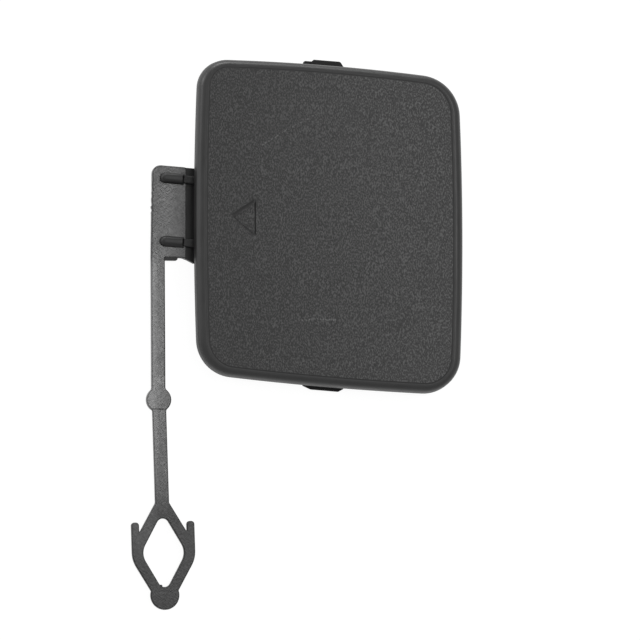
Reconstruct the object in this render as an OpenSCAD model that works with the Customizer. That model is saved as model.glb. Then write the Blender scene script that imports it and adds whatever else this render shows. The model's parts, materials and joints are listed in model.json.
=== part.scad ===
// Bumper tow hook cover: one plastic moulding with a crowned face, a rolled edge,
// a skirt with two snap clips, a ribbed side tongue and a tether strap with a barbed anchor.
// It lies face up. The origin is the middle of the cover, in the plane of its back edge.

/* [Cover outline] */
// Width of the cover between its straight side lines
cover_w = 73.9; // [66:0.1:84]
// Height of the cover through its middle
cover_h = 88.2; // [78:0.1:100]
// Fall of the top edge towards the right, in degrees
top_fall = 3.2; // [0:0.1:6]
// Fall of the bottom edge towards the right, in degrees
bottom_fall = 4.2; // [0:0.1:6]
// Radius of the top left corner
radius_top_left = 8.1; // [6:0.1:13]
// Radius of the top right corner
radius_top_right = 11.7; // [6:0.1:13]
// Radius of the bottom left corner
radius_bottom_left = 10.5; // [6:0.1:13]
// Radius of the bottom right corner
radius_bottom_right = 10.3; // [6:0.1:13]
// Outward bow of the left and right sides at their middle
side_bow = 0.66; // [0:0.01:1.2]
// Outward bow of the top edge at its middle
top_bow = 0.66; // [0:0.01:1.2]
// Outward bow of the bottom edge at its middle
bottom_bow = 0.45; // [0:0.01:1.2]

/* [Face and rolled edge] */
// Height of the wall from the lip to the start of the roll
wall_h = 2.4; // [1.6:0.1:4]
// How far the wall leans in over that height
wall_draft = 0.15; // [0:0.05:0.4]
// Height of the rolled edge
roll_h = 2.4; // [1.8:0.1:3]
// Width of the rolled edge along the sides
roll_w_sides = 2.65; // [1.8:0.05:3.2]
// Width of the rolled edge along the top and bottom
roll_w_ends = 2.1; // [1.8:0.05:3.2]
// Width of the crease between the rolled edge and the face
crease_w = 0.5; // [0.3:0.05:0.8]
// Depth of that crease
crease_depth = 0.2; // [0.1:0.05:0.4]
// Rise of the face from its edge to its middle
crown = 1.4; // [0.4:0.1:1.5]
// Thickness of the skin behind the face
skin = 2.3; // [2:0.1:3]

/* [Skirt and back ribs] */
// Width of the lip, from the outline in to the skirt
lip_w = 1.4; // [1:0.1:2]
// Thickness of the skirt
skirt_t = 1.6; // [1.2:0.1:2.4]
// Thickness of the ribs behind the face
back_rib_t = 1.2; // [0.8:0.1:2]
// How far those ribs stand down from the edge of the skin
back_rib_drop = 2; // [1:0.1:4]

/* [Clips] */
// Width of the two snap clips
clip_w = 11.4; // [8:0.1:16]
// Place of the clips along the cover's width
clip_x = -0.8; // [-8:0.1:8]
// Reach of the top clip beyond the straight line of the top edge
top_clip_reach = 2.8; // [1:0.1:3.5]
// Reach of the bottom clip beyond the straight line of the bottom edge
bottom_clip_reach = 1.2; // [0.8:0.1:3.5]
// Height of the flat end of each clip's nose
nose_land = 0.6; // [0.3:0.1:1]
// Width of the lower shoulder at the left end of the top clip
shoulder_w = 2.3; // [1:0.1:4]
// How much lower than the nose that shoulder is
shoulder_drop = 0.55; // [0.2:0.05:0.8]
// Length of the slant at the right end of the top clip
top_slant_w = 1; // [0.6:0.1:3]
// Height of that slant
top_slant_h = 1.4; // [0.8:0.1:2]
// Length of the slant at the right end of the bottom clip
bottom_slant_w = 2.2; // [1.6:0.1:4]
// Length of the slant at the left end of the bottom clip
bottom_end_w = 1.4; // [1.2:0.1:3]
// Height of the slants of the bottom clip
bottom_slant_h = 0.9; // [0.6:0.1:1.6]
// Width of the slits beside the clips
slit_w = 1; // [0.6:0.1:2]

/* [Tongue] */
// Reach of the tongue beyond the straight line of the left side
tongue_reach = 12.25; // [9:0.05:18]
// Length of the tongue along the cover's side
tongue_l = 25.8; // [20:0.1:34]
// Middle of the tongue above the middle of the cover
tongue_y = 4; // [-6:0.1:8]
// Thickness of the tongue
tongue_t = 2; // [1.6:0.1:2.6]
// Radius of the tongue's free corner
tongue_r = 2.3; // [1:0.1:4]
// Width of the groove between the tongue's plate and the cover's side line
groove_w = 2.55; // [2:0.05:4]
// Depth of that groove below the plate
groove_depth = 1.4; // [1:0.1:1.8]
// Distance from the skirt's back edge up to the tongue's root
root_lift = 0.2; // [0.1:0.1:1]
// Gap between the plate and the cover's lip, where the bumper's skin goes
panel_gap = 2.9; // [2.4:0.1:4]
// Width of the two ribs on the tongue
tongue_rib_w = 2.85; // [1.6:0.05:4]
// Height of those ribs above the plate
tongue_rib_h = 2; // [1:0.1:2.2]
// Distance from the tongue's free end to the ribs
tongue_rib_start = 2.1; // [1.5:0.1:4]
// Distance from the tongue's top edge to the middle of the upper rib
upper_rib_inset = 3.9; // [3:0.1:8]
// Distance from the tongue's bottom edge to the middle of the lower rib
lower_rib_inset = 4.4; // [3:0.1:8]
// Distance from the end of each rib to the groove
tongue_rib_stop = 0.4; // [0.2:0.1:2]
// Width of the tie that carries each rib on across the groove
tie_w = 2.2; // [1.4:0.1:2.6]
// Height of those ties above the plate
tie_h = 0.5; // [0.2:0.1:1.2]
// Reach of the flare where the tongue's bottom edge meets the cover
flare_h = 1.3; // [0.5:0.1:3]
// Width of the small lip beside the strap
gate_w = 3.6; // [2:0.1:5]
// Reach of that lip below the tongue's bottom edge
gate_h = 0.8; // [0.5:0.1:1.5]
// Thickness of that lip
gate_t = 1.4; // [0.8:0.1:1.5]

/* [Strap] */
// Width of the strap
strap_w = 3.8; // [3:0.1:5]
// Thickness of the strap
strap_t = 1.5; // [1:0.1:1.8]
// Length from the tongue to the middle of the round pad
strap_l = 39.4; // [25:0.1:60]
// Diameter of the round pad
pad_d = 6.95; // [5.5:0.05:9]
// Distance from the tongue's free end to the middle of the pad
pad_inset = 2.2; // [1.8:0.05:2.6]
// Lean of the strap below the pad, in degrees
lean = 2.1; // [-6:0.1:6]
// Radius where the strap flares into the pad
pad_flare_r = 1; // [0.4:0.1:2.4]
// Step down from the pad to the lower strap
pad_step = 0.2; // [0.1:0.05:0.3]

/* [Anchor] */
// Distance from the middle of the pad to the upper point of the loop
loop_start = 31; // [24:0.1:45]
// Length of the loop between its unrounded points
loop_l = 22.4; // [18:0.1:30]
// Angle of the arms to the strap, in degrees
arm_angle = 30.5; // [26:0.1:34]
// Width of the arms
arm_w = 2.95; // [2.2:0.05:3.4]
// Width across the two barbs
barb_span = 17.45; // [16.5:0.05:20]
// Width of each barb
barb_w = 2.3; // [1.6:0.05:2.6]
// Length of each barb above the notch beside it
barb_l = 2.4; // [1.5:0.1:4]
// Radius of the loop's ends
loop_end_r = 1.7; // [1:0.1:2.4]
// Inner radius of the loop's knees
knee_r = 6.2; // [3:0.1:8]
// Outer radius where the barbs turn into the lower arms
shoulder_r = 4; // [2:0.1:5]
// Diameter of the disc at the end of the anchor
end_disc_d = 8; // [7:0.1:10]
// Distance from the lower point of the loop to the middle of that disc
end_disc_drop = 0.5; // [0:0.1:2]
// Radius in the small inner corners of the strap and the anchor
fillet_r = 0.5; // [0.2:0.1:0.8]

/* [Hidden] */
grained_black = "#48484a";
smooth_black = "#6c6c6e";

corner_steps = 10;
side_steps = 8;
roll_steps = 6;
small_steps = 4;
large_steps = 8;
face_rings = [0.2, 0.4, 0.6, 0.8, 0.92, 1];
back_rings = [1, 0.75, 0.5, 0.25];
disc_facets = 72;
rib_facets = 40;
barb_facets = 32;

nick_r = 0.3;
shoulder_end_r = 0.6;
nose_step_r = 0.4;
top_nose_r = 0.8;
bottom_nose_r = 1.5;
bottom_end_r = 0.9;
flare_r = 2;
gate_r = 0.5;
gate_drop = 0.4;
heel = 1;
root_in = 0.65;

half_w = cover_w / 2;
half_h = cover_h / 2;
mid_fall = (top_fall + bottom_fall) / 2;

root_top = root_lift + tongue_t;
skirt_in = lip_w + skirt_t;
plate_top = root_top + groove_depth;
lip_z = plate_top + panel_gap;
wall_top = lip_z + wall_h;
edge_top = wall_top + roll_h;
back_z = edge_top - skin;

face_in_sides = wall_draft + roll_w_sides + crease_w;
face_in_ends = wall_draft + roll_w_ends + crease_w;
face_half_w = half_w + side_bow - face_in_sides;
face_half_h = half_h + max(top_bow, bottom_bow) - face_in_ends;

tongue_x = -half_w - tongue_reach;
root_x = -half_w + lip_w + root_in;
plate_x = -half_w - groove_w;
tongue_top = tongue_y + tongue_l / 2;
tongue_bottom = tongue_y - tongue_l / 2;
pad = [tongue_x + pad_inset, tongue_bottom - strap_l];

loop_mid = -loop_start - loop_l / 2;
loop_half_w = loop_l / 2 * tan(arm_angle);
arm_run = arm_w / sin(arm_angle);
barb_x = barb_span / 2;
shoulder_y = -(loop_start + loop_l + arm_run) + barb_x / tan(arm_angle);
notch_y = -(loop_start - arm_run) - (barb_x - barb_w) / tan(arm_angle);
end_disc_y = -loop_start - loop_l - end_disc_drop;

fuse = 0.2;
far = 200;

// Points of an arc about c, from angle a to angle b
function arc(c, r, a, b, steps) =
    [for (i = [0:steps]) let (t = a + (b - a) * i / steps) c + r * [cos(t), sin(t)]];

// Straight line of the top or bottom edge, moved in by d
function edge_y(top, x, d) =
    top ? half_h - d - x * tan(top_fall) : -half_h + d - x * tan(bottom_fall);

// Circle of one corner as [x, y, radius], moved in by dx and dy
function corner(side, top, r, dx, dy) =
    let (rr = r - (dx + dy) / 2,
         x = side * (half_w - dx - rr),
         reach = rr / cos(top ? top_fall : bottom_fall))
    [x, edge_y(top, x, dy) + (top ? -reach : reach), rr];

// Points between two arc ends along a side that bows out by b
function bowed(p, q, b) =
    let (u = (q - p) / norm(q - p), out = [u.y, -u.x])
    [for (i = [1:side_steps - 1]) let (t = i / side_steps) p + (q - p) * t + out * b * 4 * t * (1 - t)];

// Angle by which a side of the given length turns at each end when it bows by b
function turn(b, length) = atan(4 * b / length);

// Outline of the cover, moved in by dx at the sides and dy at the ends
function outline(dx, dy) =
    let (br = corner(1, false, radius_bottom_right, dx, dy),
         tr = corner(1, true, radius_top_right, dx, dy),
         tl = corner(-1, true, radius_top_left, dx, dy),
         bl = corner(-1, false, radius_bottom_left, dx, dy),
         right = turn(side_bow, tr.y - br.y),
         left = turn(side_bow, tl.y - bl.y),
         top = turn(top_bow, tr.x - tl.x),
         bottom = turn(bottom_bow, br.x - bl.x),
         a = arc([br.x, br.y], br.z, bottom - 90 - bottom_fall, -right, corner_steps),
         b = arc([tr.x, tr.y], tr.z, right, 90 - top_fall - top, corner_steps),
         c = arc([tl.x, tl.y], tl.z, 90 - top_fall + top, 180 - left, corner_steps),
         d = arc([bl.x, bl.y], bl.z, 180 + left, 270 - bottom_fall - bottom, corner_steps))
    concat(a, bowed(a[corner_steps], b[0], side_bow),
           b, bowed(b[corner_steps], c[0], top_bow),
           c, bowed(c[corner_steps], d[0], side_bow),
           d, bowed(d[corner_steps], a[0], bottom_bow));

// Height of the crown above the edge of the face, for a point of the face
function crown_z(x, y) =
    let (u = x / face_half_w, v = (y + x * tan(mid_fall)) / face_half_h)
    crown * (1 - u * u) * (1 - v * v);

// One ring of the skin: the outline moved in and drawn towards the middle by t, at height z,
// with the share c of the crown added
function ring(dx, dy, t, z, c) =
    [for (p = outline(dx, dy)) [p.x * t, p.y * t, z + c * crown_z(p.x * t, p.y * t)]];

// Triangles between ring i and the next one, with n points each, after the first point
function strip(i, n) =
    [for (k = [0:n - 1]) let (a = 1 + i * n + k, b = 1 + i * n + (k + 1) % n)
        each [[a, b, a + n], [b, b + n, a + n]]];

// Polygon with rounded corners, from a list of [x, y, radius]
function rounded(pts, steps) =
    let (n = len(pts))
    [for (i = [0:n - 1])
        let (p = [pts[i].x, pts[i].y], r = pts[i].z,
             a = pts[(i + n - 1) % n], b = pts[(i + 1) % n],
             u = ([a.x, a.y] - p) / norm([a.x, a.y] - p),
             v = ([b.x, b.y] - p) / norm([b.x, b.y] - p),
             half = acos(u * v) / 2,
             c = p + (u + v) / norm(u + v) * r / sin(half),
             start = p + u * r / tan(half) - c,
             a0 = atan2(start.y, start.x),
             sweep = sign(u.y * v.x - u.x * v.y) * (180 - 2 * half))
        each r > 0 ? arc(c, r, a0, a0 + sweep, steps) : [p]];

// Crowned face, rolled edge, lip and skirt as one closed loft of rings,
// with a slit through the skirt on each side of each clip
module shell() {
    profile = concat(
        [for (t = face_rings) [face_in_sides, face_in_ends, t, edge_top, 1]],
        [[face_in_sides - crease_w / 2, face_in_ends - crease_w / 2, 1, edge_top - crease_depth, 0]],
        [for (i = [0:roll_steps]) let (a = 90 * (1 - i / roll_steps), in = 1 - cos(a))
            [wall_draft + roll_w_sides * in, wall_draft + roll_w_ends * in, 1,
             wall_top + roll_h * sin(a), 0]],
        [[0, 0, 1, lip_z, 0], [lip_w, lip_w, 1, lip_z, 0]],
        [[lip_w, lip_w, 1, 0, 0], [skirt_in, skirt_in, 1, 0, 0]],
        [for (t = back_rings) [skirt_in, skirt_in, t, back_z, 1]]);
    rings = [for (p = profile) ring(p[0], p[1], p[2], p[3], p[4])];
    n = len(rings[0]);
    count = len(rings);
    last = 1 + count * n;
    points = concat([[0, 0, edge_top + crown]], [for (r = rings) each r], [[0, 0, back_z + crown]]);
    faces = concat(
        [for (k = [0:n - 1]) [0, 1 + (k + 1) % n, 1 + k]],
        [for (i = [0:count - 2]) each strip(i, n)],
        [for (k = [0:n - 1]) [last, last - n + k, last - n + (k + 1) % n]]);
    color(grained_black) difference() {
        polyhedron(points, faces);
        for (top = [true, false], side = [-1, 1])
            translate([clip_x + side * (clip_w + slit_w) / 2 - slit_w / 2, top ? 0 : -far, -1])
                cube([slit_w, far, lip_z]);
    }
}

// Nose of a clip: a wedge with a flat catch, cut to its outline as seen from above
module nose(reach, root, plan) {
    color(smooth_black) intersection() {
        rotate([90, 0, 90]) linear_extrude(2 * clip_w, center = true)
            polygon([[root, fuse], [reach, plate_top - nose_land],
                     [reach, plate_top], [root, plate_top + fuse]]);
        linear_extrude(far) polygon(plan);
    }
}

// Top clip, with a lower shoulder at its left end and a slanted right end
module top_clip() {
    root = top_bow - lip_w - skirt_t / 2;
    half = clip_w / 2;
    reach = top_clip_reach;
    step = reach - shoulder_drop;
    translate([clip_x, edge_y(true, clip_x, 0), 0]) rotate(-top_fall)
        nose(reach, root, rounded([
            [-half, root, 0], [half, root, 0], [half, reach - top_slant_h, nick_r],
            [half - top_slant_w, reach, top_nose_r],
            [shoulder_w + shoulder_drop - half, reach, nose_step_r],
            [shoulder_w - half, step, nick_r], [-half, step, shoulder_end_r]], small_steps));
}

// Bottom clip, with both ends rounded back to the cover's edge
module bottom_clip() {
    root = bottom_bow - lip_w - skirt_t / 2;
    half = clip_w / 2;
    reach = bottom_clip_reach;
    translate([clip_x, edge_y(false, clip_x, 0), 0]) rotate(180 - bottom_fall)
        nose(reach, root, rounded([
            [-half, root, 0], [half, root, 0], [half, reach - bottom_slant_h, nick_r],
            [half - bottom_slant_w, reach, bottom_nose_r], [bottom_end_w - half, reach, bottom_end_r],
            [-half, reach - bottom_slant_h, nick_r]], small_steps));
}

// Ribs behind the face: one between the clips and one behind each rib of the tongue
module back_ribs() {
    low = back_z - back_rib_drop;
    color(smooth_black) translate([0, 0, low]) intersection() {
        linear_extrude(back_z + crown + fuse - low)
            polygon(outline(lip_w + skirt_t / 2, lip_w + skirt_t / 2));
        union() {
            translate([clip_x - back_rib_t / 2, -far / 2, -1]) cube([back_rib_t, far, far]);
            for (y = [tongue_top - upper_rib_inset, tongue_bottom + lower_rib_inset])
                translate([tongue_x, y, -1]) rotate(-mid_fall)
                    translate([0, -back_rib_t / 2, 0]) cube([far, back_rib_t, far]);
        }
    }
}

// Plate of the tongue, stepped down to a groove before it meets the skirt
module tongue() {
    fall = tan(mid_fall) * (root_x - tongue_x);
    color(smooth_black) intersection() {
        translate([0, tongue_y, 0]) rotate([90, 0, 0]) linear_extrude(far, center = true)
            polygon([[tongue_x - 1, plate_top - tongue_t], [plate_x - heel, plate_top - tongue_t],
                     [plate_x, root_lift], [root_x, root_lift], [root_x, root_top], [plate_x, root_top],
                     [plate_x, plate_top], [tongue_x - 1, plate_top]]);
        linear_extrude(far) polygon(rounded([
            [tongue_x, tongue_bottom, 0], [plate_x, tongue_bottom, flare_r],
            [-half_w, tongue_bottom - flare_h, 0], [root_x, tongue_bottom - flare_h, 0],
            [root_x, tongue_top - fall, 0], [tongue_x, tongue_top, tongue_r]], large_steps));
    }
}

// The two ribs on the tongue, rounded at the free end, each with a lower and narrower tie
// across the groove into the skirt
module tongue_ribs() {
    r = tongue_rib_w / 2;
    start = tongue_rib_start + r;
    end = plate_x - tongue_x - tongue_rib_stop;
    color(smooth_black)
        for (y = [tongue_top - upper_rib_inset, tongue_bottom + lower_rib_inset])
            translate([tongue_x, y, root_top - fuse]) rotate(-mid_fall) {
                linear_extrude(fuse + groove_depth + tongue_rib_h) {
                    translate([start, 0]) circle(r, $fn = rib_facets);
                    translate([start, -r]) square([end - start, 2 * r]);
                }
                translate([start, -tie_w / 2, 0])
                    cube([root_x - tongue_x - start, tie_w, fuse + groove_depth + tie_h]);
            }
}

// Small lip on the tongue's bottom edge beside the strap
module gate_lip() {
    color(smooth_black)
        translate([tongue_x + strap_w, tongue_bottom - gate_h, plate_top - gate_drop - gate_t])
            linear_extrude(gate_t)
                polygon(rounded([[-fuse, 0, 0], [gate_w, 0, gate_r],
                                 [gate_w, gate_h + 1, 0], [-fuse, gate_h + 1, 0]], small_steps));
}

// Strap from the tongue down to the round pad
module upper_strap() {
    color(smooth_black) translate([0, 0, plate_top - strap_t]) linear_extrude(strap_t)
        offset(r = -pad_flare_r) offset(delta = pad_flare_r) {
            translate([tongue_x, pad.y]) square([strap_w, tongue_bottom + 1 - pad.y]);
            translate(pad) circle(pad_d / 2, $fn = disc_facets);
        }
}

// Outline of one barb, with its free end rounded
module barb() {
    translate([barb_x - barb_w, shoulder_y]) square([barb_w, notch_y + barb_l - barb_w / 2 - shoulder_y]);
    translate([barb_x - barb_w / 2, notch_y + barb_l - barb_w / 2]) circle(barb_w / 2, $fn = barb_facets);
}

// Lower strap and the barbed loop that holds it behind the bumper
module anchor() {
    apex = -(loop_start - arm_run);
    neck = (end_disc_y + loop_start + loop_l + arm_run) * tan(arm_angle);
    corner_y = apex - barb_x / tan(arm_angle);
    color(smooth_black) translate([pad.x, pad.y, plate_top - strap_t - pad_step]) rotate(lean)
        linear_extrude(strap_t) difference() {
            offset(r = -fillet_r) offset(delta = fillet_r) {
                translate([-strap_w / 2, -loop_start]) square([strap_w, loop_start]);
                polygon(rounded([
                    [0, apex, 0],
                    [-barb_x, corner_y, 0], [-barb_x, shoulder_y, shoulder_r], [-neck, end_disc_y, 0],
                    [neck, end_disc_y, 0], [barb_x, shoulder_y, shoulder_r], [barb_x, corner_y, 0]],
                    large_steps));
                for (side = [0, 1]) mirror([side, 0]) barb();
                translate([0, end_disc_y]) circle(end_disc_d / 2, $fn = disc_facets);
            }
            polygon(rounded([
                [0, -loop_start, loop_end_r], [-loop_half_w, loop_mid, knee_r],
                [0, -loop_start - loop_l, loop_end_r], [loop_half_w, loop_mid, knee_r]], large_steps));
        }
}

// The whole moulding
module tow_hook_cover() {
    union() {
        shell();
        top_clip();
        bottom_clip();
        back_ribs();
        tongue();
        tongue_ribs();
        gate_lip();
        upper_strap();
        anchor();
    }
}

tow_hook_cover();
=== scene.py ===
"""Bumper tow hook cover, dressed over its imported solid.

Sizes are in millimetres and follow the solid: the cover lies face up, its origin is the
middle of the cover in the plane of its back edge, and z is the height above the floor.
"""

import json
import logging
import math
from dataclasses import dataclass
from enum import Enum
from typing import Callable, Sequence

import bmesh
import bpy
from mathutils import Matrix, Vector

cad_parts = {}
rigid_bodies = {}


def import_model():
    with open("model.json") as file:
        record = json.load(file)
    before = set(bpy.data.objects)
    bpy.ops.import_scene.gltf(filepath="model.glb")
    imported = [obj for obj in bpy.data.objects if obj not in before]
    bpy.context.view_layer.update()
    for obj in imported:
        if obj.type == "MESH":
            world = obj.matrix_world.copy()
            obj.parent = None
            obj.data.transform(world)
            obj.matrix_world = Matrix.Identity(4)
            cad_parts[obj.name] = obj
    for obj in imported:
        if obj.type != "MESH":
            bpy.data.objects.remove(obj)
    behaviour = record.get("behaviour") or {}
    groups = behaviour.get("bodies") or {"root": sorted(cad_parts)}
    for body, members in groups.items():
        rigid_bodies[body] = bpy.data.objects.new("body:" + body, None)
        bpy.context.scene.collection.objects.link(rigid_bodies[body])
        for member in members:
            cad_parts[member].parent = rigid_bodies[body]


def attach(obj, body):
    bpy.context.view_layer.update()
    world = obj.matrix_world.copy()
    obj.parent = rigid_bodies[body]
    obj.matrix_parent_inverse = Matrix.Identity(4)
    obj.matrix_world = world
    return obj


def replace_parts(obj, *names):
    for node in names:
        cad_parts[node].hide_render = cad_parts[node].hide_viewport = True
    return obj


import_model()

MM = 0.001
BODY = "root"
NODE = "tow_hook_cover"
# A distance that counts as none, and one that reaches past the whole cover.
CLOSE = 0.01
FAR = 100.0
# The turn in degrees of a sharp edge, and the share of a direction that faces along an axis.
SHARP = 60.0
FACING = 0.9
WHITE = (1, 1, 1, 1)

log = logging.getLogger("tow_hook_cover")

Point = tuple[float, float]
EdgeTest = Callable[[Vector, Vector, float], bool]
FaceTest = Callable[[Vector, Vector], bool]


class Boolean(Enum):
    """How one solid works on another."""

    CUT = "DIFFERENCE"
    JOIN = "UNION"
    COMMON = "INTERSECT"


class End(Enum):
    """The two ends of the cover that carry a clip."""

    TOP = 1
    BOTTOM = -1


class Stand(Enum):
    """How a flat profile is stood up across or along the cover, as the rows of the turning matrix."""

    ACROSS = ((1, 0, 0), (0, 0, -1), (0, 1, 0))
    ALONG = ((0, 0, 1), (1, 0, 0), (0, 1, 0))


def arc(centre: Point, radius: float, start: float, end: float, steps: int) -> list[Point]:
    """Points of an arc.

    Args:
        centre: middle of the arc.
        radius: its radius.
        start: angle of the first point, in degrees.
        end: angle of the last point, in degrees.
        steps: number of chords.

    Returns:
        The points from start to end, both included.
    """
    angles = [math.radians(start + (end - start) * i / steps) for i in range(steps + 1)]
    return [(centre[0] + radius * math.cos(a), centre[1] + radius * math.sin(a)) for a in angles]


def rounded(corners: Sequence[tuple[float, float, float]], steps: int = 8) -> list[Point]:
    """Outline of a polygon whose corners are rounded.

    Args:
        corners: each corner as x, y and its radius.
        steps: chords in each rounded corner.

    Returns:
        The outline's points.
    """
    points: list[Point] = []
    count = len(corners)
    for i, (x, y, radius) in enumerate(corners):
        here = Vector((x, y))
        before = (Vector(corners[i - 1][:2]) - here).normalized()
        after = (Vector(corners[(i + 1) % count][:2]) - here).normalized()
        if radius <= 0:
            points.append((x, y))
            continue
        half = before.angle(after) / 2
        centre = here + (before + after).normalized() * radius / math.sin(half)
        first = here + before * radius / math.tan(half) - centre
        start = math.degrees(math.atan2(first.y, first.x))
        side = math.copysign(1, before.y * after.x - before.x * after.y)
        points += arc(tuple(centre), radius, start, start + side * (180 - 2 * math.degrees(half)), steps)
    return points


def into_disc(start: Point, towards: Point, side: int, disc: tuple[Point, float], fillet: float,
              steps: int = 6) -> list[Point]:
    """Fillet where a straight edge runs into a disc.

    Args:
        start: a point of the edge.
        towards: another point of it, nearer the disc.
        side: 1 where the free side is on the left of the way towards the disc, and -1 on the right.
        disc: middle and radius of the disc.
        fillet: radius of the fillet.
        steps: chords in the fillet.

    Returns:
        The fillet's points, from the edge to the disc.
    """
    centre, radius = Vector(disc[0]), disc[1]
    along = (Vector(towards) - Vector(start)).normalized()
    out = Vector((-along.y, along.x)) * side
    base = Vector(start) + out * fillet - centre
    reach = base.dot(along)
    travel = -reach - math.sqrt(reach * reach - base.length_squared + (radius + fillet) ** 2)
    middle = base + along * travel + centre
    first, last = -out, (centre - middle).normalized()
    from_angle = math.degrees(math.atan2(first.y, first.x))
    turn = math.degrees(first.angle(last)) * math.copysign(1, first.x * last.y - first.y * last.x)
    return arc(tuple(middle), fillet, from_angle, from_angle + turn, steps)


def round_disc(start: Point, end: Point, disc: tuple[Point, float], steps: int) -> list[Point]:
    """Points round a disc, clockwise from one point of its edge to another.

    Args:
        start: the first point, which is left out.
        end: the last point, which is left out.
        disc: middle and radius of the disc.
        steps: number of chords.

    Returns:
        The points between the two.
    """
    centre, radius = disc
    a = math.degrees(math.atan2(start[1] - centre[1], start[0] - centre[0]))
    b = math.degrees(math.atan2(end[1] - centre[1], end[0] - centre[0]))
    while b > a:
        b -= 360
    return arc(centre, radius, a, b, steps)[1:-1]


def measured(edge: bmesh.types.BMEdge) -> tuple[Vector, Vector, float]:
    """Measures an edge.

    Args:
        edge: the edge.

    Returns:
        Its middle, its direction and the turn in degrees between its faces.
    """
    a, b = (v.co for v in edge.verts)
    turn = math.degrees(edge.calc_face_angle(0.0)) if len(edge.link_faces) == 2 else 0.0
    return (a + b) / 2, (b - a).normalized(), turn


class Shaper:
    """One mesh on the bench, shaped by the modelling operators. Its sizes are in millimetres."""

    def __init__(self, shape: bpy.types.Object, name: str) -> None:
        """Takes the object that is shaped and its name."""
        self.shape = shape
        self.shape.name = name

    @staticmethod
    def clear() -> None:
        """Leaves edit mode and selects nothing."""
        if bpy.context.object and bpy.context.object.mode != "OBJECT":
            bpy.ops.object.mode_set(mode="OBJECT")
        bpy.ops.object.select_all(action="DESELECT")

    @classmethod
    def trace(cls, name: str, outline: Sequence[Point], height: float) -> "Shaper":
        """A flat face traced along an outline from one vertex, which is extruded from point to point.

        Args:
            name: name of the object.
            outline: the points, in order.
            height: height of the face.

        Returns:
            The shaper, in edit mode with the face selected.
        """
        cls.clear()
        points = [Vector((x, y, height)) for x, y in outline]
        bpy.ops.mesh.primitive_plane_add(size=1, location=(0, 0, 0))
        made = cls(bpy.context.object, name)
        bpy.ops.object.mode_set(mode="EDIT")
        bpy.ops.mesh.select_mode(type="VERT")
        bpy.ops.mesh.select_all(action="SELECT")
        bpy.ops.mesh.merge(type="CENTER")
        bpy.ops.transform.translate(value=points[0])
        for here, there in zip(points, points[1:]):
            bpy.ops.mesh.extrude_region_move(TRANSFORM_OT_translate={"value": there - here})
        made._select_ends()
        bpy.ops.mesh.edge_face_add()
        bpy.ops.mesh.select_all(action="SELECT")
        bpy.ops.mesh.edge_face_add()
        if not made.pick_faces(lambda c, n: n.z > 0):
            made.pick_all()
            bpy.ops.mesh.flip_normals()
        return made

    @classmethod
    def prism(cls, name: str, outline: Sequence[Point], low: float, high: float) -> "Shaper":
        """A straight solid on an outline, from one height to another."""
        made = cls.trace(name, outline, low)
        return made.extrude((0, 0, high - low)).outward()

    @classmethod
    def block(cls, name: str, low: Sequence[float], high: Sequence[float]) -> "Shaper":
        """A rectangular solid.

        Args:
            name: name of the object.
            low: its lowest corner.
            high: its highest corner.

        Returns:
            The shaper, in edit mode.
        """
        cls.clear()
        size = Vector(high) - Vector(low)
        bpy.ops.mesh.primitive_cube_add(size=1, location=(Vector(low) + Vector(high)) / 2, scale=size)
        made = cls(bpy.context.object, name)
        return made.lay(Matrix.Identity(4)).edit()

    @classmethod
    def profile(cls, name: str, outline: Sequence[Point], stand: Stand) -> "Shaper":
        """A solid right through the cover on a profile seen from the side, with heights as its y."""
        return cls.prism(name, outline, -FAR, FAR).lay(Matrix(stand.value).to_4x4())

    def _select_ends(self) -> None:
        """Selects the two ends of a chain of edges."""
        bpy.ops.mesh.select_mode(type="VERT")
        sheet = bmesh.from_edit_mesh(self.shape.data)
        for v in sheet.verts:
            v.select_set(len(v.link_edges) == 1)
        sheet.select_flush_mode()
        bmesh.update_edit_mesh(self.shape.data)

    def _pick(self, kind: str, test: Callable[[object], bool]) -> int:
        """Selects the faces or the edges that pass a test.

        Args:
            kind: "FACE" or "EDGE".
            test: takes a face or an edge.

        Returns:
            The number selected.
        """
        self.edit()
        bpy.ops.mesh.select_mode(type=kind)
        bpy.ops.mesh.select_all(action="DESELECT")
        sheet = bmesh.from_edit_mesh(self.shape.data)
        sheet.normal_update()
        found = [part for part in (sheet.faces if kind == "FACE" else sheet.edges) if test(part)]
        for part in found:
            part.select_set(True)
        bmesh.update_edit_mesh(self.shape.data)
        return len(found)

    def pick_faces(self, test: FaceTest) -> int:
        """Selects the faces whose centre and normal pass a test, and says how many they are."""
        return self._pick("FACE", lambda f: test(f.calc_center_median(), f.normal))

    def pick_edges(self, test: EdgeTest) -> "Shaper":
        """Selects the edges whose middle, direction and turn in degrees pass a test."""
        self._pick("EDGE", lambda e: test(*measured(e)))
        return self

    def pick_rims(self, *heights: float, where: Callable[[Vector], bool] = lambda m: True) -> "Shaper":
        """Selects the sharp edges at some heights whose middle passes a test.

        Args:
            *heights: the heights.
            where: takes the middle of an edge.

        Returns:
            This shaper.
        """
        def at_rim(middle: Vector, direction: Vector, turn: float) -> bool:
            """Whether an edge is sharp and lies at one of the heights."""
            near = min(abs(middle.z - height) for height in heights) < CLOSE
            return turn > SHARP and near and where(middle)

        return self.pick_edges(at_rim)

    def pick_all(self) -> "Shaper":
        """Selects the whole mesh."""
        self.edit()
        bpy.ops.mesh.select_all(action="SELECT")
        return self

    def edit(self) -> "Shaper":
        """Opens this mesh in edit mode, if it isn't open."""
        if bpy.context.object is not self.shape or self.shape.mode != "EDIT":
            self.rest()
            bpy.ops.object.mode_set(mode="EDIT")
        return self

    def rest(self) -> "Shaper":
        """Closes edit mode and leaves this object alone selected."""
        self.clear()
        bpy.context.view_layer.objects.active = self.shape
        self.shape.select_set(True)
        return self

    def extrude(self, step: Sequence[float]) -> "Shaper":
        """Extrudes what is selected by a step."""
        bpy.ops.mesh.extrude_region_move(TRANSFORM_OT_translate={"value": step})
        return self

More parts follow.
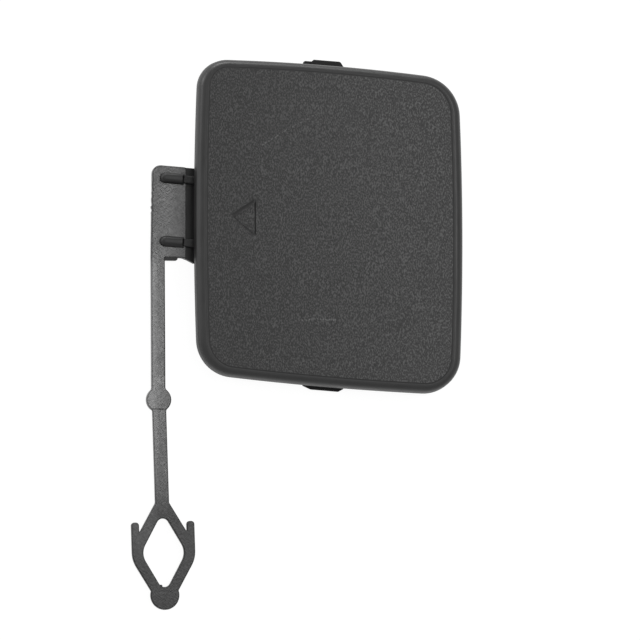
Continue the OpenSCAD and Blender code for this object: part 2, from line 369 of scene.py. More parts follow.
    def inset(self, width: float, rise: float = 0.0) -> "Shaper":
        """Insets the selected face by a width and moves it along its normal."""
        bpy.ops.mesh.inset(thickness=width, depth=rise, use_even_offset=True)
        return self

    def resize(self, scale: Sequence[float], centre: Sequence[float] = (0, 0, 0)) -> "Shaper":
        """Scales what is selected about a point."""
        bpy.ops.transform.resize(value=scale, center_override=centre)
        return self

    def rings(self, count: int, height: Callable[[float, float], float]) -> "Shaper":
        """Fills the selected face with rings about the origin and domes them.

        Args:
            count: number of rings.
            height: how far a point at x and y is lifted.

        Returns:
            This shaper, with the domed faces selected.
        """
        for i in range(1, count):
            self.extrude((0, 0, 0)).resize(((count - i) / (count - i + 1),) * 2 + (1,))
        bpy.ops.mesh.poke(offset=0)
        for _ in range(1, count):
            bpy.ops.mesh.select_more()
        sheet = bmesh.from_edit_mesh(self.shape.data)
        for v in sheet.verts:
            if v.select:
                v.co.z += height(v.co.x, v.co.y)
        bmesh.update_edit_mesh(self.shape.data)
        return self

    def bevel(self, width: float, segments: int = 3) -> "Shaper":
        """Rounds the selected edges."""
        bpy.ops.mesh.bevel(offset=width, segments=segments, affect="EDGES", clamp_overlap=False)
        return self

    def outward(self) -> "Shaper":
        """Turns every face outwards."""
        self.pick_all()
        bpy.ops.mesh.normals_make_consistent(inside=False)
        return self

    def dress(self, finish: bpy.types.Material) -> "Shaper":
        """Gives the selected faces a finish."""
        if finish.name not in self.shape.data.materials:
            self.shape.data.materials.append(finish)
        self.shape.active_material_index = self.shape.data.materials.find(finish.name)
        bpy.ops.object.material_slot_assign()
        return self

    def lay(self, placement: Matrix) -> "Shaper":
        """Places the object and applies its place to the mesh."""
        self.rest()
        self.shape.matrix_world = placement @ self.shape.matrix_world
        bpy.ops.object.transform_apply(location=True, rotation=True, scale=True)
        return self

    def place(self, turn: float, where: Sequence[float]) -> "Shaper":
        """Turns the object about z by an angle in degrees, then moves it."""
        return self.lay(Matrix.Translation(where) @ Matrix.Rotation(math.radians(turn), 4, "Z"))

    def modify(self, kind: str, **settings: object) -> "Shaper":
        """Adds a modifier and applies it.

        Args:
            kind: the modifier's type.
            **settings: its properties.

        Returns:
            This shaper.
        """
        self.rest()
        modifier = self.shape.modifiers.new(kind.lower(), kind)
        for key, value in settings.items():
            setattr(modifier, key, value)
        bpy.ops.object.modifier_apply(modifier=modifier.name)
        return self

    def work(self, tool: "Shaper", how: Boolean) -> "Shaper":
        """Cuts, joins or keeps what is common with another solid, which is used up.

        Args:
            tool: the other solid.
            how: what is done with it.

        Returns:
            This shaper.
        """
        tool.rest()
        self.modify("BOOLEAN", operation=how.value, solver="EXACT", object=tool.shape)
        bpy.data.objects.remove(tool.shape)
        return self

    def finish(self, sharp: float = 35.0) -> bpy.types.Object:
        """Brings the dressed piece to metres, shades it and makes it part of the object.

        Args:
            sharp: the angle in degrees above which an edge stays sharp.

        Returns:
            The finished piece.
        """
        self.lay(Matrix.Scale(MM, 4))
        bpy.ops.object.shade_smooth_by_angle(angle=math.radians(sharp))
        self.modify("WEIGHTED_NORMAL", keep_sharp=True)
        self.shape.data.name = self.shape.name
        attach(self.shape, BODY)
        log.info("%s: %d faces", self.shape.name, len(self.shape.data.polygons))
        return self.shape


class Wire:
    """A socket that can stand in arithmetic: each expression adds its Math node."""

    def __init__(self, graph: "Graph", socket: bpy.types.NodeSocket) -> None:
        """Takes the graph and one of its output sockets."""
        self.graph = graph
        self.socket = socket

    def _with(self, operation: str, *values: "Wire | float") -> "Wire":
        """Adds a Math node on these values."""
        return self.graph.add("ShaderNodeMath", {"operation": operation}, dict(enumerate(values)))

    def __add__(self, other: "Wire | float") -> "Wire":
        """Sum."""
        return self._with("ADD", self, other)

    def __radd__(self, other: float) -> "Wire":
        """Sum, reflected."""
        return self._with("ADD", other, self)

    def __sub__(self, other: "Wire | float") -> "Wire":
        """Difference."""
        return self._with("SUBTRACT", self, other)

    def __rsub__(self, other: float) -> "Wire":
        """Difference, reflected."""
        return self._with("SUBTRACT", other, self)

    def __mul__(self, other: "Wire | float") -> "Wire":
        """Product."""
        return self._with("MULTIPLY", self, other)

    def __rmul__(self, other: float) -> "Wire":
        """Product, reflected."""
        return self._with("MULTIPLY", other, self)

    def size(self) -> "Wire":
        """Distance from zero."""
        return self._with("ABSOLUTE", self)

    def ramp(self, low: float, high: float) -> "Wire":
        """Smooth step from 0 at low to 1 at high."""
        return self.graph.add("ShaderNodeMapRange", {"interpolation_type": "SMOOTHSTEP"},
                              {"Value": self, "From Min": low, "From Max": high})


class Graph:
    """The node tree of a material or of the world."""

    def __init__(self, owner: bpy.types.Material | bpy.types.World) -> None:
        """Empties the tree of its owner."""
        self.owner = owner
        owner.use_nodes = True
        self.tree = owner.node_tree
        self.tree.nodes.clear()

    def add(self, kind: str, settings: dict | None = None, inputs: dict | None = None,
            output: str | int = 0) -> Wire:
        """Adds a node.

        Args:
            kind: the node's type.
            settings: its properties, which are set first.
            inputs: values or wires for its input sockets, by name or number.
            output: the output socket that is returned.

        Returns:
            The wire of that output.
        """
        node = self.tree.nodes.new(kind)
        for key, value in (settings or {}).items():
            setattr(node, key, value)
        for key, value in (inputs or {}).items():
            if isinstance(value, Wire):
                self.tree.links.new(value.socket, node.inputs[key])
            else:
                node.inputs[key].default_value = value
        return Wire(self, node.outputs[output]) if node.outputs else Wire(self, node.inputs[0])

    def place(self, scale: Sequence[float] = (1, 1, 1), turn: float = 0.0,
              origin: Point = (0, 0)) -> Wire:
        """Object coordinates in millimetres about a point, turned about z and scaled.

        Args:
            scale: how often the pattern repeats on each axis.
            turn: angle in degrees by which the pattern's x axis is turned.
            origin: the point that becomes zero.

        Returns:
            The vector's wire.
        """
        here = self.add("ShaderNodeTexCoord", output="Object")
        about = (origin[0] * MM, origin[1] * MM, 0)
        size = tuple(s / MM for s in scale)
        return self.add("ShaderNodeMapping", {"vector_type": "TEXTURE"}, {
            "Vector": here, "Location": about, "Rotation": (0, 0, math.radians(turn)),
            "Scale": tuple(1 / s for s in size)})

    def noise(self, scale: Sequence[float], detail: float = 2.0, turn: float = 0.0) -> Wire:
        """Noise about 0.5, whose grains are 1 / scale millimetres."""
        return self.add("ShaderNodeTexNoise", {"noise_dimensions": "3D"},
                        {"Vector": self.place(scale, turn), "Scale": 1.0, "Detail": detail})

    def axis(self, name: str, *placing: object) -> Wire:
        """The X or the Y of object coordinates that are placed as place() takes it."""
        return self.add("ShaderNodeSeparateXYZ", None, {"Vector": self.place(*placing)}, name)

    def scratch(self, start: Point, end: Point, width: float, fade: float = 0.2) -> Wire:
        """Mask of a straight scratch that fades out at its ends.

        Args:
            start: one end.
            end: the other end.
            width: its width.
            fade: share of its length that fades out at each end.

        Returns:
            The mask's wire, 1 along the scratch.
        """
        run = Vector(end) - Vector(start)
        placing = ((1, 1, 1), math.degrees(math.atan2(run.y, run.x)), start)
        along, across = self.axis("X", *placing), self.axis("Y", *placing)
        ends = along.ramp(0, run.length * fade) * along.ramp(run.length, run.length * (1 - fade))
        return ends * across.size().ramp(width, 0)

    def grey(self, level: Wire) -> Wire:
        """A grey colour of a level that varies."""
        return self.add("ShaderNodeCombineColor", None, {0: level, 1: level, 2: level})

    def plastic(self, level: Wire, roughness: Wire, height: Wire, depth: float) -> bpy.types.Material:
        """Ends a material's tree as plastic.

        Args:
            level: the grey of its colour.
            roughness: its roughness.
            height: its relief, from 0 to 1.
            depth: depth of that relief in millimetres.

        Returns:
            The material.
        """
        relief = {"Strength": 1.0, "Distance": depth * MM, "Height": height}
        bump = self.add("ShaderNodeBump", None, relief)
        shader = self.add("ShaderNodeBsdfPrincipled", None,
                          {"Base Color": self.grey(level), "Roughness": roughness, "Normal": bump})
        self.add("ShaderNodeOutputMaterial", None, {"Surface": shader})
        return self.owner


@dataclass(frozen=True)
class GrainedFinish:
    """Black plastic with the fine pebble grain of the face and a few light scuffs, with painted light and
    shade that darkens it towards the left and lightens it towards the right.
    """

    base: float = 0.03
    roughness: float = 0.52
    pebble: float = 0.3
    fine: float = 0.2
    stretch: Point = (0.5, 0.6)
    pebble_band: Point = (0.42, 0.7)
    fine_band: Point = (0.4, 0.7)
    pebble_share: float = 0.65
    clouds: Sequence[float] = (0.06, 0.05, 0.06)
    darkest: float = 0.2
    contrast: float = 2.1
    clouding: float = 0.3
    scuffing: float = 3.5
    gloss: float = 0.2
    haze: float = 0.1
    relief: float = 0.05
    scuff_w: float = 0.3
    # Painted light and shade: across this span of x, the face's colour goes from darkened at the left to
    # lightened at the right.
    fade: Point = (-38.0, 28.0)
    painted_shade_from: float = 0.62
    painted_shade_by: float = 0.5
    scuffs: Sequence[tuple[Point, Point]] = (
        ((-20.7, 20.8), (-11.5, 26.8)), ((-12.5, 26.2), (-3.0, 31.2)),
        ((-12.5, -27.0), (-4.6, -26.0)), ((-6.0, -26.0), (2.0, -26.3)))

    def build(self) -> bpy.types.Material:
        """Makes the material."""
        g = Graph(bpy.data.materials.new("grained_black"))
        pebbles = g.noise((1 / self.pebble, self.stretch[0] / self.pebble, 1 / self.pebble), 0.0)
        fine = g.noise((1 / self.fine, self.stretch[1] / self.fine, 1 / self.fine), 1.0)
        cloud = g.noise(self.clouds)
        height = (pebbles.ramp(*self.pebble_band) * self.pebble_share
                  + fine.ramp(*self.fine_band) * (1 - self.pebble_share))
        scuff = sum((g.scratch(a, b, self.scuff_w) for a, b in self.scuffs), 0.0)
        # Painted light and shade: the colour is darkened at the left of the face and lightened at the
        # right.
        shade = self.painted_shade_from + g.axis("X").ramp(*self.fade) * self.painted_shade_by
        grain = self.darkest + height * self.contrast + cloud * self.clouding
        level = self.base * (grain + scuff * height * self.scuffing) * shade
        roughness = self.roughness - (height - 0.5) * self.gloss + (cloud - 0.5) * self.haze
        return g.plastic(level, roughness, height, self.relief)


@dataclass(frozen=True)
class SatinFinish:
    """Smooth black plastic with drawn streaks, a fine hatch and cloudy handling marks. It can carry a
    painted highlight along the strap's left edge, and painted shade that darkens it towards the bottom of
    the anchor.
    """

    name: str
    base: float
    roughness: float
    relief: float
    speckle: float = 0.2
    hatch: float = 0.0
    painted_shade_depth: float = 0.0
    painted_sheen: float = 0.0
    rub: float = 0.0
    wear: float = 0.0
    streak: float = 0.45
    streak_stretch: float = 0.1
    streak_turn: float = 4.0
    blotch: Sequence[float] = (0.22, 0.15, 0.22)
    fine: Sequence[float] = (3.0, 2.2, 3.0)
    lines: Sequence[float] = (0.9, 3.2, 3.2)
    lines_turn: float = 40.0
    lines_band: Point = (0.3, 0.7)
    fresh: float = 0.6
    streak_relief: float = 0.6
    fine_relief: float = 0.3
    darkest: float = 0.55
    streaking: float = 0.4
    clouding: float = 0.5
    streak_haze: float = 0.14
    cloud_haze: float = 0.16
    wear_and_painted_shade: Point = (-68.0, -82.0)
    # Painted highlight: the band across x where the strap is lightened, and where it starts and stops along
    # y.
    light: Point = (-46.4, -48.6)
    light_start: Point = (-8.0, -12.0)
    light_stop: Point = (-94.0, -86.0)
    rubbed: Point = (-45.5, -40.0)

    def build(self) -> bpy.types.Material:
        """Makes the material."""
        g = Graph(bpy.data.materials.new(self.name))
        run = (1 / self.streak, self.streak_stretch / self.streak, 1 / self.streak)
        streaks, blotch = g.noise(run, 2.0, self.streak_turn), g.noise(self.blotch)
        fine = g.noise(self.fine, 1.0)
        rising, falling = (g.noise(self.lines, 0.0, side * self.lines_turn) for side in (1, -1))
        weave = rising.ramp(*self.lines_band) + falling.ramp(*self.lines_band)
        along, across = g.axis("Y"), g.axis("X")
        # This ramp towards the bottom of the anchor deepens the hatch and the roughness, and also darkens
        # the colour as painted shade.
        wear_and_painted_shade = along.ramp(*self.wear_and_painted_shade)
        drawn = self.hatch * (self.fresh + wear_and_painted_shade * (1 - self.fresh))
        height = streaks * self.streak_relief + fine * self.fine_relief + weave * drawn
        grain = (fine - 0.5) * self.speckle + (weave - 1) * drawn
        # Painted highlight: a lighter band along the left edge of the strap and anchor.
        painted_sheen = across.ramp(*self.light) * along.ramp(*self.light_start) * along.ramp(*self.light_stop)
        level = self.darkest + streaks * self.streaking + blotch * self.clouding + grain
        level = level + painted_sheen * self.painted_sheen
        plate = along.ramp(*reversed(self.light_start))
        rub = across.ramp(*self.rubbed) * plate * self.rub + wear_and_painted_shade * self.wear
        haze = (streaks - 0.5) * self.streak_haze + (blotch - 0.5) * self.cloud_haze
        # Painted shade: the colour is darkened towards the bottom of the anchor.
        shade = self.base * level * (1 - wear_and_painted_shade * self.painted_shade_depth)
        return g.plastic(shade, self.roughness + haze + rub, height, self.relief)


@dataclass
class Levels:
    """Heights above the back edge at which the moulding's parts meet."""

    root_lift: float = 0.2
    tongue_t: float = 2.0
    groove_depth: float = 1.4
    panel_gap: float = 2.9
    wall: float = 2.4
    roll: float = 2.4
    skin: float = 2.3
    crown: float = 1.4

    def __post_init__(self) -> None:
        """Works out the tops of the root and the plate, the lip, the face's edge and the hollow's edge."""
        self.root_top = self.root_lift + self.tongue_t
        self.plate = self.root_top + self.groove_depth
        self.lip = self.plate + self.panel_gap
        self.edge = self.lip + self.wall + self.roll
        self.back = self.edge - self.skin


@dataclass(frozen=True)
class CoverOutline:
    """Outline of the cover: four slightly bowed sides with a corner of its own radius between each two."""

    width: float = 73.9
    height: float = 88.2
    top_fall: float = 3.2
    bottom_fall: float = 4.2
    radius_top_left: float = 8.1
    radius_top_right: float = 11.7
    radius_bottom_left: float = 10.5
    radius_bottom_right: float = 10.3
    side_bow: float = 0.66
    top_bow: float = 0.66
    bottom_bow: float = 0.45
    corner_steps: int = 16
    side_steps: int = 30

    @property
    def mid_fall(self) -> float:
        """Fall of the lines between the top and the bottom edge, in degrees."""
        return (self.top_fall + self.bottom_fall) / 2

    def fall(self, end: End) -> float:
        """Fall of the top or the bottom edge, in degrees."""
        return self.top_fall if end is End.TOP else self.bottom_fall

    def edge_y(self, end: End, x: float) -> float:
        """Height of the straight top or bottom line at x."""
        return end.value * self.height / 2 - x * math.tan(math.radians(self.fall(end)))

    def _corner(self, side: int, end: End, radius: float) -> tuple[Point, float]:
        """Middle and radius of one corner.

        Args:
            side: 1 at the right and -1 at the left.
            end: top or bottom.
            radius: the corner's radius.

        Returns:
            The circle's middle and its radius.
        """
        x = side * (self.width / 2 - radius)
        reach = radius / math.cos(math.radians(self.fall(end)))
        return (x, self.edge_y(end, x) - end.value * reach), radius

    def _bowed(self, start: Point, end: Point, bow: float) -> list[Point]:
        """Points between two corners along a side that bows outwards.

        Args:
            start: end of the first corner.
            end: start of the next corner.
            bow: the bow at the middle of the side.

        Returns:
            The points between the two.
        """
        a, b = Vector(start), Vector(end)
        along = (b - a).normalized()
        out = Vector((along.y, -along.x))
        shares = [i / self.side_steps for i in range(1, self.side_steps)]
        return [tuple(a + (b - a) * t + out * bow * 4 * t * (1 - t)) for t in shares]

    def points(self) -> list[Point]:
        """The outline, anticlockwise from the bottom right corner.

        Returns:
            Its points.
        """
        circles = [self._corner(1, End.BOTTOM, self.radius_bottom_right),
                   self._corner(1, End.TOP, self.radius_top_right),
                   self._corner(-1, End.TOP, self.radius_top_left),
                   self._corner(-1, End.BOTTOM, self.radius_bottom_left)]
        bows = (self.side_bow, self.top_bow, self.side_bow, self.bottom_bow)
        facing = (0, 90 - self.top_fall, 180, 270 - self.bottom_fall)
        turns = []
        for i, bow in enumerate(bows):
            here, there = circles[(i + 1) % 4][0], circles[i][0]
            turns.append(math.degrees(math.atan(4 * bow / abs(here[1 - i % 2] - there[1 - i % 2]))))
        corners = []
        for i, circle in enumerate(circles):
            start = facing[i - 1] + turns[i - 1] - (0 if i else 360)
            corners.append(arc(*circle, start, facing[i] - turns[i], self.corner_steps))
        points: list[Point] = []
        for corner, after, bow in zip(corners, corners[1:] + corners[:1], bows):
            points += corner + self._bowed(corner[-1], after[0], bow)
        return points


@dataclass
class CoverShell:
    """The crowned face with its rolled edge, lip and skirt, hollow behind."""

    outline: CoverOutline
    levels: Levels
    grained: bpy.types.Material
    smooth: bpy.types.Material
    # matte: the rougher finish, painted in a deeper black as shade in the crease, on the steep outer wall
    # and on the mark's walls.
    matte: bpy.types.Material
    draft: float = 0.15
    roll_sides: float = 2.65
    roll_ends: float = 2.1
    crease_w: float = 0.5
    crease_depth: float = 0.08
    lip_w: float = 1.4
    skirt_t: float = 1.6
    slit_w: float = 1.0
    slit_end: float = 1.0
    clip_w: float = 11.4
    clip_x: float = -0.8
    roll_steps: int = 10
    crease_steps: int = 4
    steep: float = 0.3
    face_rings: int = 24
    back_rings: int = 8
    edge_r: float = 0.3
    mark: Sequence[Point] = ((-28.2, 2.35), (-21.1, -3.9), (-21.1, 7.05))
    mark_r: float = 0.3
    mark_steps: int = 5
    mark_depth: float = 0.6
    mark_taper: float = 0.81
    mark_pole: Point = (-22.8, 1.0)

    @property
    def face_half_w(self) -> float:
        """Half the width of the face."""
        return self.outline.width / 2 + self.outline.side_bow - self.draft - self.roll_sides - self.crease_w

    @property
    def face_half_h(self) -> float:
        """Half the height of the face."""
        return self.outline.height / 2 + self.outline.top_bow - self.draft - self.roll_ends - self.crease_w

    def crown_at(self, x: float, y: float) -> float:
        """Height of the crown above the edge of the face.

        Args:
            x: place across the face.
            y: place along the face.

        Returns:
            The height, which falls to nothing at the sides and ends.
        """
        u = x / self.face_half_w
        v = (y + x * math.tan(math.radians(self.outline.mid_fall))) / self.face_half_h
        return self.levels.crown * (1 - u * u) * (1 - v * v)

    def _roll(self, body: Shaper) -> None:
        """Rolls the wall over into the face, a little less far at the ends than at the sides.

        Args:
            body: the shell, with its top face selected.
        """
        half_h = self.outline.height / 2
        done = (0.0, 0.0)
        for i in range(1, self.roll_steps + 1):
            # The last step of the roll and the crease inside it get the rougher finish, painted in a deeper
            # black as shade in the crease.
            if i == self.roll_steps:
                body.dress(self.matte)
            angle = math.radians(90 * i / self.roll_steps)
            share, rise = 1 - math.cos(angle), math.sin(angle)
            body.inset((share - done[0]) * self.roll_sides, (rise - done[1]) * self.levels.roll)
            slack = (share - done[0]) * (self.roll_sides - self.roll_ends)
            body.resize((1, 1 + slack / (half_h - share * self.roll_sides), 1))
            done = (share, rise)

    def _face(self, body: Shaper) -> None:
        """Draws the crease and the crowned, grained face.

        Args:
            body: the shell, with its top face selected.
        """
        half = self.crease_steps // 2
        for i in range(self.crease_steps):
            fall = self.crease_depth / half
            body.inset(self.crease_w / self.crease_steps, -fall if i < half else fall)
        body.rings(self.face_rings, self.crown_at)
        body.dress(self.grained)

    def _hollow(self, body: Shaper) -> None:
        """Draws the lip, the skirt and the hollow behind the face.

        Args:
            body: the shell.
        """
        body.pick_faces(lambda c, n: n.z < -FACING and abs(c.z - self.levels.lip) < CLOSE)
        body.inset(self.lip_w).extrude((0, 0, -self.levels.lip))
        body.inset(self.skirt_t).extrude((0, 0, self.levels.back))
        body.rings(self.back_rings, self.crown_at)

    def _mark(self) -> Shaper:
        """Makes the tapered punch that presses the arrow mark into the face, leaning with the crown.

        Returns:
            The punch.
        """
        middle = sum(p[0] for p in self.mark) / len(self.mark)
        top = self.levels.edge + self.crown_at(middle, self.mark_pole[1])
        lean = math.atan(2 * self.levels.crown * middle / self.face_half_w ** 2)
        plan = rounded([(x, y, self.mark_r) for x, y in self.mark], self.mark_steps)
        punch = Shaper.trace("mark_tool", plan, 0)
        punch.extrude((0, 0, -self.mark_depth))
        punch.resize((self.mark_taper, self.mark_taper, 1), (*self.mark_pole, 0))
        punch.pick_faces(lambda c, n: abs(c.z) < CLOSE and abs(n.z) > FACING)
        punch.extrude((0, 0, 1)).outward().dress(self.smooth).dress(self.grained).dress(self.matte)
        # The upper-left and right walls of the mark keep the rougher finish, painted in a deeper black as
        # shade; the floor and the lower-left wall are grained.
        punch.pick_faces(lambda c, n: n.z < -FACING or (n.x < 0 and n.y < 0))
        punch.dress(self.grained)
        pivot = Matrix.Translation((-middle, 0, 0))
        return punch.lay(Matrix.Translation((middle, 0, top)) @ Matrix.Rotation(lean, 4, "Y") @ pivot)

    def build(self) -> bpy.types.Object:
        """Makes the shell.

        Returns:
            The finished piece.
        """
        half_w, half_h = self.outline.width / 2, self.outline.height / 2
        lip = self.levels.lip
        body = Shaper.trace("cover_shell", self.outline.points(), lip).dress(self.smooth)
        body.extrude((0, 0, self.levels.wall))
        body.resize((1 - self.draft / half_w, 1 - self.draft / half_h, 1))
        self._roll(body)
        self._face(body)
        body.outward()
        # The steep outer wall gets the rougher finish, painted in a deeper black as shade.
        body.pick_faces(lambda c, n: abs(n.z) < self.steep and c.z > lip)
        body.dress(self.matte)
        self._hollow(body)
        body.outward()
        body.pick_rims(0, lip).bevel(self.edge_r)
        body.work(self._mark(), Boolean.CUT)
        for end in End:
            for side in (-1, 1):
                x = self.clip_x + side * (self.clip_w + self.slit_w) / 2
                near, far = sorted((0, end.value * FAR))
                low = (x - self.slit_w / 2, near, -self.slit_end)
                high = (x + self.slit_w / 2, far, lip - self.slit_end)
                body.work(Shaper.block("slit_tool", low, high), Boolean.CUT)
        return body.finish()


@dataclass
class Clip:
    """A snap clip: the wedge nose on its leg of the skirt.

    Each corner of the nose has its side, its distance from the end on that side, how far it stays
    behind the reach, and its radius.
    """

    name: str
    end: End
    shell: CoverShell
    finish: bpy.types.Material
    reach: float
    corners: Sequence[tuple[int, float, float, float]]
    corner_steps: int = 5
    land: float = 0.6
    low: float = 0.2
    edge_r: float = 0.22
    ridge: float = 30.0
    hidden: float = 0.3

    def _plan(self, root: float) -> list[Point]:
        """Outline of the nose seen from above, which starts at root, inside the skirt."""
        half = self.shell.clip_w / 2
        nose = [(side * (half - inset), self.reach - back, r) for side, inset, back, r in self.corners]
        return rounded([(-half, root, 0), (half, root, 0)] + nose, self.corner_steps)

    def build(self) -> bpy.types.Object:
        """Makes the clip.

        Returns:
            The finished piece.
        """
        outline, top = self.shell.outline, self.shell.levels.plate
        bow = outline.top_bow if self.end is End.TOP else outline.bottom_bow
        root = bow - self.shell.lip_w - self.shell.skirt_t / 2
        tip = self.reach + CLOSE
        nose = Shaper.prism(self.name, self._plan(root), self.low, top)
        wedge = [(root - CLOSE, self.low), (tip, top - self.land), (tip, top + 1), (root - CLOSE, top + 1)]
        nose.work(Shaper.profile("wedge_tool", wedge, Stand.ALONG), Boolean.COMMON)
        nose.pick_edges(lambda m, d, t: t > self.ridge and m.y > root + self.hidden).bevel(self.edge_r)
        # The clip's finish is painted in a deeper black as shade under the lip.
        nose.pick_all().dress(self.finish)
        turn = (0 if self.end is End.TOP else 180) - outline.fall(self.end)
        nose.place(turn, (self.shell.clip_x, outline.edge_y(self.end, self.shell.clip_x), 0))
        return nose.finish()


@dataclass
class Tongue:
    """The side tongue with its two ribs, the strap and the round pad, in one piece."""

    levels: Levels
    outline: CoverOutline
    finish: bpy.types.Material
    # matte: the rougher finish, painted in a deeper black as shade on the groove, root, gate and ribs.
    matte: bpy.types.Material
    reach: float = 12.06
    length: float = 25.8
    y: float = 3.88
    corner_r: float = 2.3
    groove_w: float = 2.55
    root_in: float = 2.05
    heel: float = 1.0
    rib_w: float = 2.9
    rib_h: float = 2.0
    rib_start: float = 2.4
    rib_stop: float = 0.4
    rib_r: float = 1.3
    rib_turns: int = 16
    rib_rounds: int = 7
    upper_rib: float = 3.45
    lower_rib: float = 4.8
    tie_w: float = 2.2
    tie_h: float = 0.5
    flare: float = 1.3
    flare_r: float = 5.0
    gate_w: float = 3.6
    gate_h: float = 0.7
    gate_t: float = 1.4
    gate_drop: float = 0.4
    gate_r: float = 0.6
    gate_in: float = 1.0
    strap_w: float = 3.9
    strap_t: float = 1.5
    strap_l: float = 39.18
    strap_drift: float = 0.3
    pad_d: float = 6.95
    pad_chord: float = 2.87
    pad_inset: float = 2.33
    pad_flare_r: float = 1.0
    pad_steps: int = 56
    edge_r: float = 0.42
    small_r: float = 0.2
    seam: float = 0.03
    flash: float = 0.3
    flash_rise: float = 0.3
    flash_fall: float = 0.8
    flash_rows: Sequence[tuple[float, float, float]] = (
        (12.4, 9.6, 0.3), (9.6, 8.1, 0.45), (8.1, 5.6, 0.6), (5.6, 4.2, 1.0), (4.2, 2.0, 0.8))

    def __post_init__(self) -> None:
        """Works out the lines that its parts share.

        They are the cover's side, the free end, the edge of the plate at the groove, the end of the root
        inside the skirt, the top and bottom edges, the middle of the pad and the rows of the ribs.
        """
        self.side = -self.outline.width / 2
        self.x = self.side - self.reach
        self.plate_x = self.side - self.groove_w
        self.root_x = self.side + self.root_in
        self.top, self.bottom = self.y + self.length / 2, self.y - self.length / 2
        self.pad = (self.x + self.pad_inset, self.bottom - self.strap_l)
        self.rib_rows = (self.top - self.upper_rib, self.bottom + self.lower_rib)

    def _corners(self, seam: float) -> list[tuple[float, float, float]]:
        """Corners of the tongue from the cover's side round its top to its free end, with their radii.

        Args:
            seam: how far the outline is drawn in.

        Returns:
            The corners, anticlockwise.
        """
        drop = math.tan(math.radians(self.outline.mid_fall)) * (self.root_x - self.x)
        low = self.bottom + seam
        return [(self.plate_x, low, self.flare_r), (self.side, low - self.flare, 0),
                (self.root_x, low - self.flare, 0), (self.root_x, self.top - drop - seam, 0),
                (self.x + self.flash, self.top - seam, self.corner_r)]

    def _ragged(self) -> list[tuple[float, float, float]]:
        """Small waves of flash along the free end.

        Returns:
            The points, from the top down.
        """
        points = []
        line, rise = self.x + self.flash, self.flash_rise
        for high, low, out in self.flash_rows:
            out *= self.flash
            points += [(line, high, 0), (line - out, high * (1 - rise) + low * rise, 0),
                       (line - out * self.flash_fall, high * rise + low * (1 - rise), 0)]
        return points + [(self.x, self.bottom, 0)]

    def _plan(self) -> list[Point]:
        """Outline of the plate, the strap and the pad, in one line.

        Returns:
            The points, anticlockwise.
        """
        inner, pad = self.x + self.strap_w, self.pad
        strap = [(self.x, pad[1], 0), (inner, pad[1], 0), (inner, self.bottom, self.small_r)]
        line = rounded(self._corners(0) + self._ragged() + strap)
        cut = line.index((self.x, pad[1]))
        disc = (pad, self.pad_d / 2)
        low = (self.x + self.strap_drift, pad[1]), (inner + self.strap_drift, pad[1])
        left = into_disc((self.x, self.bottom), low[0], -1, disc, self.pad_flare_r)
        right = into_disc((inner, self.bottom), low[1], 1, disc, self.pad_flare_r)
        edge = round_disc(right[-1], left[-1], disc, self.pad_steps)[::-1]
        edge = [(x, max(y, pad[1] - self.pad_chord)) for x, y in edge]
        edge = [p for p, q in zip(edge, edge[1:] + right[-1:]) if p[1] != q[1] or p == edge[-1]]
        return line[:cut] + left + edge + right[::-1] + line[cut + 2:]

    def _root(self) -> Shaper:
        """The lower half of the plate with its heel and the root under the groove.

        Returns:
            The solid.
        """
        lv = self.levels
        low = lv.plate - lv.tongue_t
        side = [(self.x - 1, low), (self.plate_x - self.heel, low), (self.plate_x, lv.root_lift),
                (self.root_x, lv.root_lift), (self.root_x, lv.root_top), (self.x - 1, lv.root_top)]
        solid = Shaper.profile("root_tool", side, Stand.ACROSS)
        plan = rounded(self._corners(self.seam) + [(self.x + self.flash, self.bottom + self.seam, 0)])
        return solid.work(Shaper.prism("plan_tool", plan, -1, FAR), Boolean.COMMON)

    def _rib(self, y: float) -> Shaper:
        """One rib with its tie across the groove.

        Args:
            y: its place along the tongue.

        Returns:
            The solid.
        """
        r, low = self.rib_w / 2, self.levels.root_top - self.small_r
        high, start = self.levels.plate + self.rib_h, self.rib_start + self.rib_w / 2
        stop = self.plate_x - self.x - self.rib_stop
        plan = arc((start, 0), r, 90, 270, self.rib_turns) + [(stop, -r), (stop, r)]
        rib = Shaper.prism("rib_tool", plan, low, high)
        rib.pick_rims(high).bevel(self.rib_r, self.rib_rounds)
        tie_top = self.levels.plate + self.tie_h
        tie = Shaper.block("tie_tool", (start, -self.tie_w / 2, low),
                           (self.root_x - self.x, self.tie_w / 2, tie_top))
        tie.pick_edges(lambda m, d, t: abs(d.x) > FACING and abs(m.z - tie_top) < CLOSE).bevel(self.edge_r)
        return rib.work(tie, Boolean.JOIN).place(-self.outline.mid_fall, (self.x, y, 0))

    def _gate(self) -> Shaper:
        """The small lip on the bottom edge beside the strap.

        Returns:
            The solid.
        """
        start, low = self.x + self.strap_w - self.small_r, self.bottom - self.gate_h
        end, high = self.x + self.strap_w + self.gate_w, self.levels.plate - self.gate_drop
        back = self.bottom + self.gate_in
        plan = rounded([(start, low, 0), (end, low, self.gate_r), (end, back, 0), (start, back, 0)])
        gate = Shaper.prism("gate_tool", plan, high - self.gate_t, high)
        return gate.pick_rims(high, where=lambda m: m.y < self.bottom).bevel(self.small_r)

    def _dress_painted_shade(self, tool: Shaper) -> Shaper:
        """Gives a solid the rougher finish, painted in a deeper black as shade, in the same slot as the
        tongue has it.
        """
        return tool.pick_all().dress(self.matte)

    def build(self) -> bpy.types.Object:
        """Makes the tongue with its strap.

        Returns:
            The finished piece.
        """
        lv = self.levels
        solid = Shaper.prism("tongue", self._plan(), lv.plate - self.strap_t, lv.plate)
        solid.dress(self.matte).pick_all().dress(self.finish)
        solid.pick_rims(lv.plate).bevel(self.edge_r)
